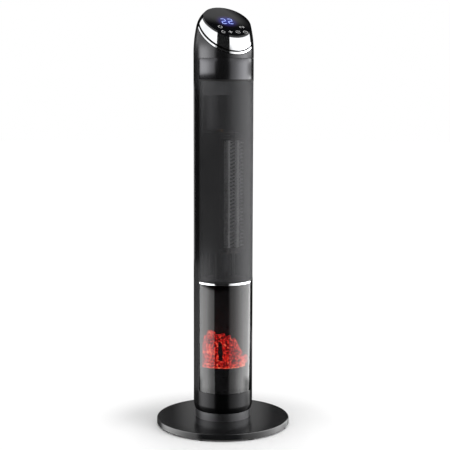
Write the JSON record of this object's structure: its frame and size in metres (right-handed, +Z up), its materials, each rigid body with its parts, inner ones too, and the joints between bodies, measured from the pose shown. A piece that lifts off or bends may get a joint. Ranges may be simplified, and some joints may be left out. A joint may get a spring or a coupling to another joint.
{
  "type": "tower fan heater",
  "caption": "Slim cylindrical tower fan heater with a sloped touch panel, a mesh grille and a glowing ember window, swivelling on a round base.",
  "frame": {"origin": "centre of the round base, on the surface that the rubber feet stand on", "axes": "+Z up along the tower, -Y to the front (grille, window and control panel), +X to the right of someone looking along +Y"},
  "size_m": [0.253, 0.253, 0.7892],
  "materials": {
    "feet_rubber": "matt moulded rubber",
    "base_gloss": "polished black moulding",
    "satin_black": "satin black moulding with a fine spark texture",
    "inner_black": "plain black inner moulding",
    "ballast": "dull black steel",
    "screw_steel": "zinc-plated steel",
    "dark_screw": "blackened steel",
    "natural_nylon": "unpainted engineering plastic",
    "plated_steel": "plated pressed steel",
    "smoked_window": "polished smoked acrylic",
    "bright_chrome": "mirror-bright plated plastic",
    "grille_mesh": "matt charcoal coated mesh",
    "board_green": "glass-fibre circuit board",
    "ember_resin": "translucent orange-red resin, dark on its crowns",
    "impeller_grey": "glass-filled dark plastic",
    "sinter_bronze": "oil-filled sintered bronze",
    "fin_aluminium": "mill-finish aluminium",
    "heat_plastic": "black heat-resistant moulding",
    "lens_gloss": "glossy black printed acrylic",
    "digit_blue": "lit blue display",
    "spring_brass": "tinned spring"
  },
  "bodies": {
    "base": {"rubber_feet": "feet_rubber", "base_plate": "inner_black", "base_screws": "screw_steel", "ballast_ring": "ballast", "base_cover": "base_gloss", "swivel_hub": "satin_black", "hub_screws": "screw_steel", "slip_washer": "natural_nylon", "swing_gear": "natural_nylon", "gear_screws": "screw_steel"},
    "swing_pinion": {"swing_pinion": "natural_nylon"},
    "impeller": {"impeller": "impeller_grey", "impeller_shaft": "screw_steel"},
    "rocker": {"switch_rocker": "inner_black"},
    "tower": {"lower_skirt": "satin_black", "swing_bracket": "plated_steel", "swing_motor": "plated_steel", "swing_screws": "screw_steel", "tilt_switch": "natural_nylon", "cable_gland": "feet_rubber", "rear_housing": "satin_black", "window": "smoked_window", "chrome_trim": "bright_chrome", "front_grille": "grille_mesh", "front_band": "satin_black", "cover_screws": "dark_screw", "carry_cup": "satin_black", "switch_body": "inner_black", "power_board": "board_green", "ember_tray": "inner_black", "light_board": "board_green", "ember_bed": "ember_resin", "light_screen": "inner_black", "bulkhead": "inner_black", "fan_motor": "dark_screw", "blower_housing": "inner_black", "top_bearing": "sinter_bronze", "element_frame": "heat_plastic", "heater_tubes": "fin_aluminium", "heater_fins": "fin_aluminium", "element_tabs": "plated_steel", "thermal_cutout": "dark_screw", "head_shell": "satin_black", "thin_ring": "bright_chrome", "wide_ring": "bright_chrome", "control_lens": "lens_gloss", "display_board": "board_green", "digit_display": "digit_blue", "touch_springs": "spring_brass"}
  },
  "joints": [
    {"name": "swivel", "type": "hinge", "parent": "base", "child": "tower", "pos_m": [0, 0, 0.034], "axis": [0, 0, 1], "range_deg": [-35, 35]},
    {"name": "swing_pinion_spin", "type": "hinge", "parent": "tower", "child": "swing_pinion", "pos_m": [0, 0.0375, 0.04], "axis": [0, 0, 1], "range_deg": [-97, 97]},
    {"name": "impeller_spin", "type": "hinge", "parent": "tower", "child": "impeller", "pos_m": [0, 0.015, 0.44], "axis": [0, 0, 1], "continuous": true},
    {"name": "power_rocker", "type": "hinge", "parent": "tower", "child": "rocker", "pos_m": [0, 0.0526, 0.1004], "axis": [1, 0, 0], "range_deg": [0, 16]}
  ],
  "couplings": [
    {"joint": "swing_pinion_spin", "follows": "swivel", "ratio": 2.75}
  ]
}
